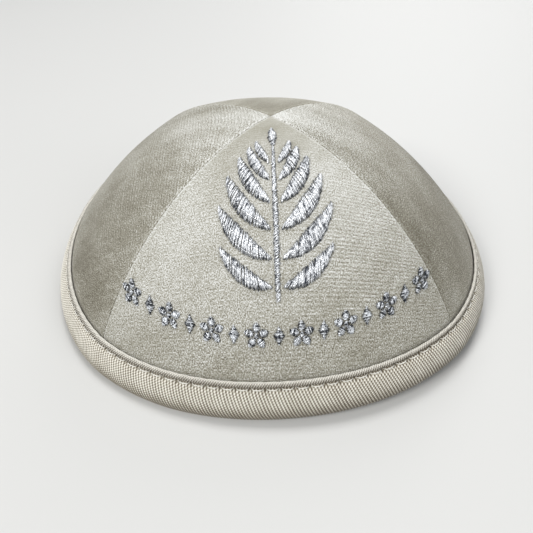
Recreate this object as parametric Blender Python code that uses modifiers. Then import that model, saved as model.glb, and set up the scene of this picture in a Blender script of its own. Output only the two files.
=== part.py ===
"""A four-panel velvet kippah with a piped and ribbed rim band and raised satin-stitch embroidery.

Metres, +Z up. The origin is on the ground under the apex, and the embroidered panel faces -Y.
An azimuth is an angle about Z, measured from the front (-Y) towards +X.
"""

import math

import bmesh
import bpy
import numpy as np
from mathutils import Vector

# Crown
crown_radius = 0.0750  # outer face where the crown meets the piping, before its panels flatten it
crown_rise = 0.0451  # from the piping line up to the apex
crown_wall = 0.0018  # velvet on its stiff backing
panel_count = 4
flat_at_apex = 0.37  # 0 is a round plan, 1 is straight from seam to seam
flat_at_rim = 0.03
seam_swell = 0.0020  # how far the seams stand out at the rim

# Rim band, a ribbed ribbon folded over the crown's lower edge
rim_height = 0.0117  # from the piping line down to the fold
rim_flare = 0.0045  # how far the fold stands outside the piping line
rim_bulge = 0.0021  # how far the outer face swells between its two ends
band_wall = 0.0010
inner_leg_height = 0.0085
rim_wave = 0.0016  # the rim's rise and fall, twice round
pressed_share = 0.25  # how much of the wave's fall the ground presses flat

# Piping and clearances
piping_diameter = 0.0021
piece_gap = 0.0003

# Embroidery
pad_height = 0.0009
sprig_top = 0.0095  # from the apex to the tip of the top leaf
sprig_length = 0.0620
stem_width = 0.0018
leaf_slimness = 0.27  # a leaf's width over its length
border_drop = 0.0800  # from the apex along the panel's middle to the border
border_end_rise = 0.0050  # how much nearer the apex the border's ends lie
flower_diameter = 0.0072
flower_petals = 5
petal_depth = 0.4  # how deep the notches between the petals are, as a share of the flower's radius
diamond_length = 0.0050
diamond_width = 0.0034
motif_gap = 0.0008  # the least room beside a flower or a diamond, and beside the seams

# The sprig's leaves from the lowest pair up: where each leaves the stem and how long it is, as shares
# of the sprig's length, and its lean at the stem and the curl that it loses by its tip, in degrees
leaf_columns = ("from_foot", "length", "lean", "curl")
leaf_pairs = [
    (0.07, 0.300, 80.0, 26.0),
    (0.20, 0.350, 70.0, 25.0),
    (0.34, 0.345, 60.0, 24.0),
    (0.48, 0.300, 50.0, 22.0),
    (0.61, 0.235, 42.0, 19.0),
    (0.72, 0.165, 35.0, 15.0),
]
top_leaf_length = 0.16

# Soft hollows in the velvet: the azimuth and the share of the way down where each lies, its depth as
# a share of the crown's radius, and how far it reaches in degrees and in shares of the way down
dent_columns = ("azimuth", "share_down", "depth", "half_angle", "half_share")
dents = [
    (292.0, 0.56, 0.009, 24.0, 0.26),
    (70.0, 0.62, 0.008, 20.0, 0.24),
    (182.0, 0.50, 0.010, 30.0, 0.28),
]

# Mesh fineness
panel_columns = 14
crown_rows = 12
rim_steps = 80
face_steps = 6

panel_half = 180.0 / panel_count
panel_words = {0: "front", 90: "right", 180: "back", 270: "left"}
gore_margin = 4.0  # degrees that a gore is cut wider than its panel, before its seams are trimmed
dome_radius = (crown_radius**2 + crown_rise**2) / (2 * crown_rise)
dome_sweep = math.atan2(crown_radius, dome_radius - crown_rise)
dome_length = dome_radius * dome_sweep
rim_slope = math.atan2(rim_flare, rim_height)
wall_across = crown_wall / math.cos(rim_slope)
band_top = piping_diameter + piece_gap
fold_lift = rim_wave * (1 - pressed_share)  # mean height of the fold
channel_floor = rim_height - band_wall
skirt_depth = channel_floor - piece_gap - crown_wall * math.sin(rim_slope)

# Colour, roughness and metallic value of each material
looks = {
    "velvet": ((0.52, 0.49, 0.43, 1.0), 0.85, 0.0),
    "ribbon": ((0.62, 0.57, 0.48, 1.0), 0.65, 0.0),
    "bias_roll": ((0.58, 0.53, 0.44, 1.0), 0.65, 0.0),
    "silver_thread": ((0.70, 0.73, 0.78, 1.0), 0.35, 0.9),
}


def cleared_scene():
    for obj in list(bpy.data.objects):
        bpy.data.objects.remove(obj)
    collection = bpy.data.collections.new("kippah")
    bpy.context.scene.collection.children.link(collection)
    return collection


def plain_material(name, look):
    colour, roughness, metallic = looks[look]
    material = bpy.data.materials.new(f"{name}_{look}")
    material.use_nodes = True
    shader = material.node_tree.nodes["Principled BSDF"]
    shader.inputs["Base Color"].default_value = colour
    shader.inputs["Roughness"].default_value = roughness
    shader.inputs["Metallic"].default_value = metallic
    return material


def add_object(collection, name, data, look):
    obj = bpy.data.objects.new(name, data)
    data.materials.append(plain_material(name, look))
    collection.objects.link(obj)
    if obj.type == "MESH":
        data.shade_smooth()
        data.set_sharp_from_angle(angle=math.radians(50))
    return obj


def mesh_from(bm, name):
    """Makes a mesh of a bmesh, whose faces all turn the same way, and outwards if it is closed."""
    bmesh.ops.recalc_face_normals(bm, faces=bm.faces)
    if bm.calc_volume(signed=True) < 0:
        bmesh.ops.reverse_faces(bm, faces=bm.faces)
    mesh = bpy.data.meshes.new(name)
    bm.to_mesh(mesh)
    bm.free()
    return mesh


def outward(azimuth):
    """Horizontal unit vectors at azimuths in radians."""
    return np.stack([np.sin(azimuth), -np.cos(azimuth), np.zeros_like(azimuth)], -1)


def dent_depth(azimuth, share):
    """How far the hollows draw the velvet in, each fading to nothing at its half angle and share."""
    depth = np.zeros_like(azimuth + share)
    for row in dents:
        dent = dict(zip(dent_columns, row))
        turn = (np.degrees(azimuth) - dent["azimuth"] + 180.0) % 360.0 - 180.0
        reach = np.hypot(turn / dent["half_angle"], (share - dent["share_down"]) / dent["half_share"])
        depth += dent["depth"] * crown_radius * np.cos(np.clip(reach, 0, 1) * math.pi / 2) ** 2
    return depth


def plan_radius(middle, off_middle, share):
    """Outer radius in plan: a circle blended with straight chords, most of all near the apex.

    off_middle is measured from the panel's middle, and share runs from 0 at the apex to 1 at the piping.
    """
    half = math.radians(panel_half)
    chord = math.cos(half) / np.cos(off_middle)
    flatness = flat_at_apex + (flat_at_rim - flat_at_apex) * share**2
    round_radius = dome_radius * np.sin(share * dome_sweep)
    swell = seam_swell * np.sin(off_middle * math.pi / (2 * half)) ** 2 * share**2.5
    radius = round_radius * (1 + flatness * (chord - 1)) + swell
    return radius - dent_depth(middle + off_middle, share)


def rim_lines(azimuth):
    """Heights of the piping line and of the fold, which lies flat on the ground at its low places."""
    wave = rim_wave * np.sin(2 * azimuth)
    return rim_height + fold_lift + wave, np.maximum(0.0, fold_lift + wave)


def crown_surface(middle, off_middle, share):
    """Points of the crown's outer face: a dome that takes up the rim's wave on its way down."""
    azimuth = middle + off_middle
    points = outward(azimuth) * plan_radius(middle, off_middle, share)[..., None]
    rise = crown_rise - dome_radius * (1 - np.cos(share * dome_sweep))
    points[..., 2] = rim_height + fold_lift + rise + rim_wave * np.sin(2 * azimuth) * share**2
    return points


def rim_surface(middle, off_middle, down, out):
    """Points on the flared slope below the piping line, a way down it and a way out from it."""
    azimuth = middle + off_middle
    piping_line, fold = rim_lines(azimuth)
    share = down / rim_height
    radius = plan_radius(middle, off_middle, np.ones_like(azimuth)) + rim_flare * share + out
    points = outward(azimuth) * radius[..., None]
    points[..., 2] = piping_line + (fold - piping_line) * share
    return points


def rim_ring(down, out):
    """A ring of rim_steps points round the rim, each measured from the middle of its own panel."""
    azimuth = np.arange(rim_steps) * 2 * math.pi / rim_steps
    width = math.radians(2 * panel_half)
    middle = np.floor(azimuth / width + 0.5) * width
    return rim_surface(middle, azimuth - middle, down, out)


def crown_panel(collection, name, middle_degrees):
    """A gore of velvet from the apex down into the band.

    The gore is cut a little wide, thickened inwards and trimmed along the planes of its two seams.
    """
    middle = math.radians(middle_degrees)
    half = math.radians(panel_half)
    off_middle = np.linspace(-1, 1, panel_columns + 1) * (half + math.radians(gore_margin))
    shares = np.linspace(0, 1, crown_rows + 1)
    rows = [crown_surface(middle, off_middle, np.full_like(off_middle, share)) for share in shares]
    rows += [rim_surface(middle, off_middle, down, 0.0) for down in (skirt_depth / 2, skirt_depth)]
    bm = bmesh.new()
    grid = [[bm.verts.new(point) for point in row] for row in rows]
    for upper, lower in zip(grid, grid[1:]):
        for i in range(panel_columns):
            bm.faces.new((upper[i], lower[i], lower[i + 1], upper[i + 1]))
    bmesh.ops.remove_doubles(bm, verts=bm.verts, dist=1e-6)
    gore = bpy.data.objects.new(name, mesh_from(bm, name))
    bpy.context.scene.collection.objects.link(gore)
    wall = gore.modifiers.new("wall", "SOLIDIFY")
    wall.thickness = crown_wall
    wall.offset = -1.0
    wall.use_even_offset = True
    graph = bpy.context.evaluated_depsgraph_get()
    walled = bpy.data.meshes.new_from_object(gore.evaluated_get(graph))
    bpy.data.objects.remove(gore)

    bm = bmesh.new()
    bm.from_mesh(walled)
    for side in (-1, 1):
        seam = middle + side * half
        away = Vector((math.cos(seam), math.sin(seam), 0.0)) * side
        everything = bm.verts[:] + bm.edges[:] + bm.faces[:]
        edge_line = away * (-piece_gap / 2)
        bmesh.ops.bisect_plane(bm, geom=everything, plane_co=edge_line, plane_no=away, clear_outer=True)
        bmesh.ops.holes_fill(bm, edges=[edge for edge in bm.edges if edge.is_boundary])
    return add_object(collection, name, mesh_from(bm, name), "velvet")


def band_section():
    """The band's section as (down, out): outer face, fold, inner leg, and the channel for the crown."""
    section = []
    for i in range(face_steps):
        down = band_top + (rim_height - band_top) * math.sin(i / face_steps * math.pi / 2)
        section.append((down, rim_bulge * math.sqrt(math.sin(math.pi * down / rim_height))))
    channel_inside = -(wall_across + piece_gap)
    leg_inside = channel_inside - band_wall
    leg_top = rim_height - inner_leg_height
    return section + [
        (rim_height, -band_wall / 2),
        (rim_height, leg_inside + band_wall / 2),
        (rim_height - band_wall / 2, leg_inside),
        (leg_top, leg_inside),
        (leg_top, channel_inside),
        (channel_floor, channel_inside),
        (channel_floor, piece_gap),
        (band_top, piece_gap),
    ]


def rim_band(collection):
    """The band's section carried round the rim, which isn't round in plan and rises and falls."""
    bm = bmesh.new()
    rings = [[bm.verts.new(point) for point in rim_ring(down, out)] for down, out in band_section()]
    for upper, lower in zip(rings, rings[1:] + rings[:1]):
        for i in range(rim_steps):
            after = (i + 1) % rim_steps
            bm.faces.new((upper[i], lower[i], lower[after], upper[after]))
    return add_object(collection, "rim_band", mesh_from(bm, "rim_band"), "ribbon")


def rim_piping(collection):
    """A round roll along the top of the band, held a clearance off the velvet."""
    radius = piping_diameter / 2
    points = rim_ring(radius, (radius + piece_gap) / math.cos(rim_slope))
    curve = bpy.data.curves.new("rim_piping", "CURVE")
    curve.dimensions = "3D"
    curve.bevel_depth = radius
    curve.bevel_resolution = 2
    spline = curve.splines.new("POLY")
    spline.points.add(rim_steps - 1)
    spline.points.foreach_set("co", np.insert(points, 3, 1.0, axis=1).ravel())
    spline.use_cyclic_u = True
    return add_object(collection, "rim_piping", curve, "bias_roll")


def on_front_panel(across, along, lift):
    """Points over the front panel: along from the apex, across from its middle, lifted off the velvet."""

    def velvet(across, along):
        share = along / dome_length
        middle = np.zeros_like(share)
        return crown_surface(middle, across / plan_radius(middle, middle, share), share)

    step = 1e-4
    sideways = velvet(across + step, along) - velvet(across - step, along)
    downwards = velvet(across, along + step) - velvet(across, along - step)
    normal = np.cross(downwards, sideways)
    normal /= np.linalg.norm(normal, axis=-1, keepdims=True)
    return velvet(across, along) + normal * lift[..., None]


def embroidered(collection, name, bm, across, along, crest):
    """Lays a sphere's vertices on the front panel, flat below and up to the pad's height at its crest."""
    points = on_front_panel(across, along, piece_gap + pad_height * np.clip(crest, 0, 1))
    for vertex, point in zip(bm.verts, points):
        vertex.co = point
    return add_object(collection, name, mesh_from(bm, name), "silver_thread")


def satin_pad(collection, name, outline, segments=8, rings=6):
    """A pad between two ends, made from a sphere whose poles are the ends.

    outline gives across and along for a share of the way from one end to the other and a side from
    -1 to 1.
    """
    bm = bmesh.new()
    bmesh.ops.create_uvsphere(bm, u_segments=segments, v_segments=rings, radius=1.0)
    ball = np.array([vertex.co for vertex in bm.verts])
    girth = np.maximum(np.hypot(ball[:, 0], ball[:, 1]), 1e-6)
    across, along = outline((ball[:, 2] + 1) / 2, ball[:, 0] / girth)
    embroidered(collection, name, bm, across, along, ball[:, 1])


def leaf_outline(base_across, base_along, length, lean, curl):
    """A pointed leaf from its base towards the apex, leaning off the panel's middle and curling back."""

    def outline(share, side):
        heading = lean - curl * share
        half = leaf_slimness * length / 2 * np.sin(math.pi * share) ** 0.8
        across = base_across + length * share * np.sin(heading) + side * half * np.cos(heading)
        along = base_along - length * share * np.cos(heading) + side * half * np.sin(heading)
        return across, along

    return outline


def sprig(collection):
    """An upright leafy sprig: a stem, pairs of curved leaves and one leaf at the top."""
    foot = sprig_top + sprig_length
    top_length = sprig_length * top_leaf_length
    stem_length = sprig_length - top_length - piece_gap

    def stem(share, side):
        half = stem_width / 2 * (1 - 0.4 * share) * np.sin(math.pi * share) ** 0.25
        return side * half, foot - stem_length * share

    satin_pad(collection, "sprig_stem", stem, rings=10)
    for number, row in enumerate(leaf_pairs, 1):
        leaf = dict(zip(leaf_columns, row))
        for side, word in ((-1, "left"), (1, "right")):
            outline = leaf_outline(
                side * (stem_width / 2 + 2 * piece_gap),
                foot - sprig_length * leaf["from_foot"],
                sprig_length * leaf["length"],
                side * math.radians(leaf["lean"]),
                side * math.radians(leaf["curl"]),
            )
            satin_pad(collection, f"sprig_leaf_{word}_{number}", outline)
    satin_pad(collection, "sprig_leaf_top", leaf_outline(0.0, sprig_top + top_length, top_length, 0.0, 0.0))


def border_reach():
    """Half the border's length along its arc, from the panel's middle to the centre of an end flower."""
    share = np.array([(border_drop - border_end_rise) / dome_length])
    radius = plan_radius(np.zeros(1), np.zeros(1), share)[0]
    return radius * math.radians(panel_half) - flower_diameter / 2 - motif_gap


def border_place(across):
    """Where on the border's arc a motif lies that far from the panel's middle."""
    return across, border_drop - border_end_rise * (across / border_reach()) ** 2


def flower(collection, name, centre):
    """A pad with round petals and sharp notches between them, its first petal towards the apex."""
    bm = bmesh.new()
    bmesh.ops.create_uvsphere(bm, u_segments=4 * flower_petals, v_segments=4, radius=1.0)
    ball = np.array([vertex.co for vertex in bm.verts])
    turn = np.arctan2(ball[:, 1], ball[:, 0])
    petals = 1 - petal_depth * (1 - np.abs(np.cos(flower_petals * turn / 2)))
    reach = np.hypot(ball[:, 0], ball[:, 1]) * flower_diameter / 2 * petals
    across = centre[0] + reach * np.sin(turn)
    along = centre[1] - reach * np.cos(turn)
    embroidered(collection, name, bm, across, along, ball[:, 2])


def diamond(collection, name, centre):
    def outline(share, side):
        half = diamond_width / 2 * (1 - np.abs(2 * share - 1))
        return centre[0] + side * half, centre[1] + diamond_length * (share - 0.5)

    satin_pad(collection, name, outline, rings=4)


def border(collection):
    """As many flowers as fit along an arc near the rim, with a diamond between each two."""
    least_pitch = flower_diameter + diamond_width + 2 * motif_gap
    spaces = int(2 * border_reach() / least_pitch)
    pitch = 2 * border_reach() / spaces
    for number in range(spaces + 1):
        flower(collection, f"border_flower_{number + 1}", border_place(pitch * (number - spaces / 2)))
    for number in range(spaces):
        place = border_place(pitch * (number + 0.5 - spaces / 2))
        diamond(collection, f"border_diamond_{number + 1}", place)


def main():
    collection = cleared_scene()
    for number in range(panel_count):
        middle = 2 * panel_half * number
        crown_panel(collection, f"crown_panel_{panel_words.get(middle, round(middle))}", middle)
    rim_band(collection)
    rim_piping(collection)
    sprig(collection)
    border(collection)


main()
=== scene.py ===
import math

import bpy
import mathutils
import numpy as np
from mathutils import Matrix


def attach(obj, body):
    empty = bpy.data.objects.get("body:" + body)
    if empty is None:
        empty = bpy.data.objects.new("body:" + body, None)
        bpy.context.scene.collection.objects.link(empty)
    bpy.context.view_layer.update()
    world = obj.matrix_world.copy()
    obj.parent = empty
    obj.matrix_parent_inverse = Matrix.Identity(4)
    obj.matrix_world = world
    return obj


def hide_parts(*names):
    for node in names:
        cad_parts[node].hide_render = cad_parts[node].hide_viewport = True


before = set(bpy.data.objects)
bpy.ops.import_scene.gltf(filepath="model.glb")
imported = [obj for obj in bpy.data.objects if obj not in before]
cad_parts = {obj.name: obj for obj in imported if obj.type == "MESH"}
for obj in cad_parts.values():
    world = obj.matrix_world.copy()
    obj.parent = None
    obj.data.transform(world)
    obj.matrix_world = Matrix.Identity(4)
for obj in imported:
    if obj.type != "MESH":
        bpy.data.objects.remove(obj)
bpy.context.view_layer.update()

# Kippah of four velvet gores, with a piped and ribbed rim band and silver satin-stitch embroidery.
# Metres, +Z up. The embroidered gore faces -Y. An azimuth is measured from -Y towards +X, in radians,
# and a share runs from 0 at the apex to 1 at the line where the velvet meets the piping.

# the same driving sizes as the solids in the frame
crownShape = {
    "radius": 0.0750,  # at the piping line
    "rise": 0.0451,  # from the piping line to the apex
    "wall": 0.0018,
    "gores": 4,
    "flatAtApex": 0.37,  # 0 is a round plan, 1 is straight from seam to seam
    "flatAtRim": 0.03,
    "seamSwell": 0.0020,
    "rimHeight": 0.0117,
    "rimFlare": 0.0045,
    "rimWave": 0.0016,
    "pressedShare": 0.25,  # how much of the wave's fall the ground presses flat
    "hollows": [  # azimuth, share, depth over the radius, half angle, half share
        (292.0, 0.56, 0.009, 24.0, 0.26),
        (70.0, 0.62, 0.008, 20.0, 0.24),
        (182.0, 0.50, 0.010, 30.0, 0.28),
    ],
}
goreHalf = math.pi / crownShape["gores"]
domeRadius = (crownShape["radius"] ** 2 + crownShape["rise"] ** 2) / (2 * crownShape["rise"])
domeSweep = math.atan2(crownShape["radius"], domeRadius - crownShape["rise"])
domeLength = domeRadius * domeSweep
foldLift = crownShape["rimWave"] * (1 - crownShape["pressedShare"])
rimSlope = math.atan2(crownShape["rimFlare"], crownShape["rimHeight"])


# plan radius: sin of the dome's sweep, blended with the chord between two seams, swollen at the seams
# by sin squared, and drawn in by the hollows, each a cosine squared that ends at its half angle
def planRadius(azimuth, share):
    off = (azimuth + goreHalf) % (2 * goreHalf) - goreHalf
    chord = math.cos(goreHalf) / np.cos(off)
    flat = crownShape["flatAtApex"] + (crownShape["flatAtRim"] - crownShape["flatAtApex"]) * share**2
    swell = crownShape["seamSwell"] * np.sin(off * math.pi / (2 * goreHalf)) ** 2 * share**2.5
    radius = domeRadius * np.sin(share * domeSweep) * (1 + flat * (chord - 1)) + swell
    for middle, down, depth, halfAngle, halfShare in crownShape["hollows"]:
        turn = degreesFrom(azimuth, middle)
        reach = np.clip(np.hypot(turn / halfAngle, (share - down) / halfShare), 0, 1)
        radius = radius - depth * crownShape["radius"] * np.cos(reach * math.pi / 2) ** 2
    return radius


# crown: the plan radius laid out at its azimuth, on a circular arc in height plus the rim's wave,
# which is sin of twice the azimuth and grows with the share squared
def crownPoints(azimuth, share):
    azimuth, share = np.broadcast_arrays(np.asarray(azimuth, float), np.asarray(share, float))
    radius = planRadius(azimuth, share)
    height = crownShape["rimHeight"] + foldLift + crownShape["rise"]
    height = height - domeRadius * (1 - np.cos(share * domeSweep))
    height = height + crownShape["rimWave"] * np.sin(2 * azimuth) * share**2
    return np.stack([radius * np.sin(azimuth), -radius * np.cos(azimuth), height], -1)


# rim: a straight slope from the piping line down to the fold, which never goes below the ground
def rimPoints(azimuth, down, out):
    azimuth, down, out = np.broadcast_arrays(azimuth, down, out)
    wave = crownShape["rimWave"] * np.sin(2 * azimuth)
    top = crownShape["rimHeight"] + foldLift + wave
    fold = np.maximum(0, foldLift + wave)
    share = down / crownShape["rimHeight"]
    radius = planRadius(azimuth, np.ones_like(share)) + crownShape["rimFlare"] * share + out
    height = top + (fold - top) * share
    return np.stack([radius * np.sin(azimuth), -radius * np.cos(azimuth), height], -1)


# unit normal of the crown: the cross product of its slopes down and round
def crownNormals(azimuth, share):
    step = 1e-4
    around = crownPoints(azimuth + step, share) - crownPoints(azimuth - step, share)
    downhill = crownPoints(azimuth, share + step) - crownPoints(azimuth, share - step)
    normal = np.cross(downhill, around)
    return normal / np.linalg.norm(normal, axis=-1, keepdims=True)


# front gore: metres across from its middle line and metres along from the apex become azimuth and share
def frontPoints(across, along, lift):
    share = along / domeLength
    azimuth = across / planRadius(np.zeros_like(share), share)
    return crownPoints(azimuth, share) + crownNormals(azimuth, share) * np.asarray(lift)[..., None]


# flat cloth of a gore: where the shortest line that meets its middle line squarely comes from, which is
# arctan(tan a cos b) down the middle and arcsin(sin a sin b) across, for a turn a down and b round
def clothPlace(off, share):
    off, share = np.broadcast_arrays(off, share)
    tilt = share * domeSweep
    across = domeRadius * np.arcsin(np.clip(np.sin(tilt) * np.sin(off), -1, 1))
    along = domeRadius * np.arctan2(np.sin(tilt) * np.cos(off), np.cos(tilt))
    return across, along


# 1 at the middle, and next to nothing two reaches away
def bell(value, middle, reach):
    return np.exp(-((value - middle) / reach) ** 2)


# degrees from one azimuth to another, the shorter way round
def degreesFrom(azimuth, middle):
    return (np.degrees(azimuth) - middle + 180) % 360 - 180


# rows by columns of points become quads. A wrapped grid closes on itself across its columns, and its
# UV table then has one more column than the points. Ends are capped by joining opposite columns.
def gridFaces(rows, columns, wrap, cap=False, wrapRows=False):
    lastRow = rows if wrapRows else rows - 1
    lastColumn = columns if wrap else columns - 1
    row, column = np.meshgrid(np.arange(lastRow), np.arange(lastColumn), indexing="ij")
    row, column = row.ravel(), column.ravel()
    corners = np.stack([
        np.stack([row, column], -1), np.stack([row + 1, column], -1),
        np.stack([row + 1, column + 1], -1), np.stack([row, column + 1], -1)], 1)
    if cap:
        half = columns // 2
        side = np.arange(half - 1)
        for at, turned in ((0, False), (rows - 1, True)):
            opposite = columns - 1 - side
            ends = np.stack([side, side + 1, opposite - 1, opposite], -1)
            ends = ends[:, ::-1] if turned else ends
            capped = np.stack([np.full_like(ends, at), ends], -1)
            corners = np.concatenate([corners, capped])
    return corners


def meshPiece(name, points, uvTable, corners, material, attributes=None):
    rows, columns = points.shape[:2]
    faces = (corners[..., 0] % rows) * columns + corners[..., 1] % columns
    mesh = bpy.data.meshes.new(name)
    mesh.from_pydata(points.reshape(-1, 3), [], faces.tolist())
    uv = uvTable[np.minimum(corners[..., 0], uvTable.shape[0] - 1), corners[..., 1]]
    mesh.uv_layers.new(name="cloth").data.foreach_set("uv", uv.astype(np.float32).ravel())
    for key, values in (attributes or {}).items():
        attribute = mesh.attributes.new(key, "FLOAT", "POINT")
        attribute.data.foreach_set("value", values.astype(np.float32).ravel())
    return finishedPiece(name, mesh, material)


def finishedPiece(name, mesh, material):
    mesh.materials.append(material)
    mesh.shade_smooth()
    piece = bpy.data.objects.new(name, mesh)
    bpy.context.scene.collection.objects.link(piece)
    return piece


# many thin threads in one mesh: each row of the lines is one thread, and round each of its points
# stands a ring in the plane of the surface normal and the cross of that normal with the thread. The
# thread thins towards both ends as a sine to a power.
def threadMesh(name, lines, normals, radius, sides, material, tone):
    endTurn, fullness = 0.16, 0.35
    count, samples = lines.shape[:2]
    tangent = np.gradient(lines, axis=1)
    tangent /= np.linalg.norm(tangent, axis=-1, keepdims=True)
    sideways = np.cross(tangent, normals)
    sideways /= np.linalg.norm(sideways, axis=-1, keepdims=True)
    upwards = np.cross(sideways, tangent)
    turn = np.arange(sides) * 2 * math.pi / sides
    taper = np.sin(np.linspace(endTurn, math.pi - endTurn, samples)) ** fullness
    reach = (np.broadcast_to(radius, (count,))[:, None] * taper)[..., None, None]
    ring = np.cos(turn)[:, None] * sideways[:, :, None] + np.sin(turn)[:, None] * upwards[:, :, None]
    points = lines[:, :, None] + reach * ring
    corners = gridFaces(samples, sides, True)
    first = (np.arange(count) * samples * sides)[:, None, None]
    faces = corners[..., 0] * sides + corners[..., 1] % sides + first
    rim = np.arange(sides)
    ends = np.stack([rim, rim[::-1] + (samples - 1) * sides]) + first
    mesh = bpy.data.meshes.new(name)
    allFaces = faces.reshape(-1, 4).tolist() + ends.reshape(-1, sides).tolist()
    mesh.from_pydata(points.reshape(-1, 3), [], allFaces)
    length = np.linalg.norm(np.diff(lines, axis=1), axis=-1).cumsum(1)
    length = np.concatenate([np.zeros((count, 1)), length], 1)
    uv = np.stack(np.broadcast_arrays(turn / (2 * math.pi), length[..., None]), -1).reshape(-1, 2)
    uvFaces = uv[faces]
    uvFaces[:, corners[..., 1] == sides, 0] = 1.0
    uvAll = np.concatenate([uvFaces.reshape(-1, 2), uv[ends].reshape(-1, 2)])
    mesh.uv_layers.new(name="cloth").data.foreach_set("uv", uvAll.astype(np.float32).ravel())
    tones = np.repeat(tone.ravel(), sides).astype(np.float32)
    mesh.attributes.new("tone", "FLOAT", "POINT").data.foreach_set("value", tones)
    return finishedPiece(name, mesh, material)


# Materials are built with small helpers, so that each one reads as a short list of nodes and links.
# In a look, colours run from dark to light, every noise has its scale in cycles for each unit of the
# UV, and a share is how much something lightens or darkens the cloth.
def newMaterial(name, gloss):
    material = bpy.data.materials.new(name)
    material.use_nodes = True
    shader = material.node_tree.nodes["Principled BSDF"]
    for key, value in gloss.items():
        shader.inputs[key].default_value = value
    return material, material.node_tree, shader


def addNode(tree, kind, inputs=None, **settings):
    node = tree.nodes.new(kind)
    for key, value in settings.items():
        setattr(node, key, value)
    for key, value in (inputs or {}).items():
        node.inputs[key].default_value = value
    return node


def attributeNode(tree, name):
    return addNode(tree, "ShaderNodeAttribute", attribute_name=name).outputs["Fac"]


# the two axes of the piece's own UV
def clothAxes(tree):
    place = addNode(tree, "ShaderNodeUVMap", uv_map="cloth")
    axes = addNode(tree, "ShaderNodeSeparateXYZ")
    tree.links.new(place.outputs["UV"], axes.inputs["Vector"])
    return axes.outputs["X"], axes.outputs["Y"]


# noise on the piece's own UV, turned and then stretched by the scale on each axis
def clothNoise(tree, scale, detail=2.0, turn=0.0, seed=0.0):
    place = addNode(tree, "ShaderNodeUVMap", uv_map="cloth")
    mapping = addNode(tree, "ShaderNodeMapping", {
        "Scale": (1 / scale[0], 1 / scale[1], 1), "Rotation": (0, 0, turn), "Location": (seed, seed, 0),
    }, vector_type="TEXTURE")
    noise = addNode(tree, "ShaderNodeTexNoise", {"Scale": 1.0, "Detail": detail, "Roughness": 0.6})
    tree.links.new(place.outputs["UV"], mapping.inputs["Vector"])
    tree.links.new(mapping.outputs["Vector"], noise.inputs["Vector"])
    return noise.outputs["Fac"]


def mathNode(tree, operation, first, second=0.0, third=0.0, clamp=False):
    node = addNode(tree, "ShaderNodeMath", operation=operation, use_clamp=clamp)
    for index, value in enumerate((first, second, third)):
        if isinstance(value, bpy.types.NodeSocket):
            tree.links.new(value, node.inputs[index])
        else:
            node.inputs[index].default_value = value
    return node.outputs["Value"]


# value + part times share
def addShare(tree, value, part, share, clamp=False):
    return mathNode(tree, "MULTIPLY_ADD", part, share, value, clamp)


# a noise runs from 0 to 1, and is moved to lie about 0
def centred(tree, noise):
    return mathNode(tree, "SUBTRACT", noise, 0.5)


# sine or cosine of a distance times the cycles for each unit of it
def waveNode(tree, kind, distance, cycles):
    return mathNode(tree, kind, mathNode(tree, "MULTIPLY", distance, 2 * math.pi * cycles))


# colours from dark to light along the value, at evenly spaced stops unless their places are given
def colourBy(tree, shader, value, colours, places=None):
    ramp = addNode(tree, "ShaderNodeValToRGB")
    while len(ramp.color_ramp.elements) < len(colours):
        ramp.color_ramp.elements.new(0.5)
    places = places or [number / (len(colours) - 1) for number in range(len(colours))]
    for element, position, colour in zip(ramp.color_ramp.elements, places, colours):
        element.position = position
        element.color = (*colour, 1.0)
    tree.links.new(value, ramp.inputs["Fac"])
    tree.links.new(ramp.outputs["Color"], shader.inputs["Base Color"])


def bumpNode(tree, height, distance, strength, shader):
    bump = addNode(tree, "ShaderNodeBump", {"Distance": distance, "Strength": strength})
    tree.links.new(height, bump.inputs["Height"])
    tree.links.new(bump.outputs["Normal"], shader.inputs["Normal"])


velvetLook = {
    "colours": [(0.112, 0.099, 0.068), (0.356, 0.343, 0.287), (0.755, 0.760, 0.742)],
    "grain": {"scale": (3000, 2100)},  # pile tufts per metre, across and along
    "mottle": {"scale": (620, 420), "detail": 3.0, "turn": 0.4, "seed": 0.31},
    "brush": {"scale": (60, 90), "turn": -0.5, "seed": 0.77},
    "streak": {"scale": (150, 26), "detail": 6.0, "turn": 0.35, "seed": 0.19},  # they run down the gore
    "rows": 780,  # rows of pile per metre, which run across the gore
    "wobble": 0.0006,  # how far the mottle moves a row
    "grainShare": 1.5,
    "brushedGrain": 2.2,  # how much more the grain shows where the brush noise is high
    "mottleShare": 0.45,
    "brushShare": 0.35,
    "rowShare": 0.18,
    "rowRelief": 0.12,
    "bump": 0.00022,
    "gloss": {
        "Roughness": 0.85, "Specular IOR Level": 0.15, "Sheen Weight": 0.42, "Sheen Roughness": 0.35,
        "Sheen Tint": (0.95, 0.92, 0.86, 1),
    },
}


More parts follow.
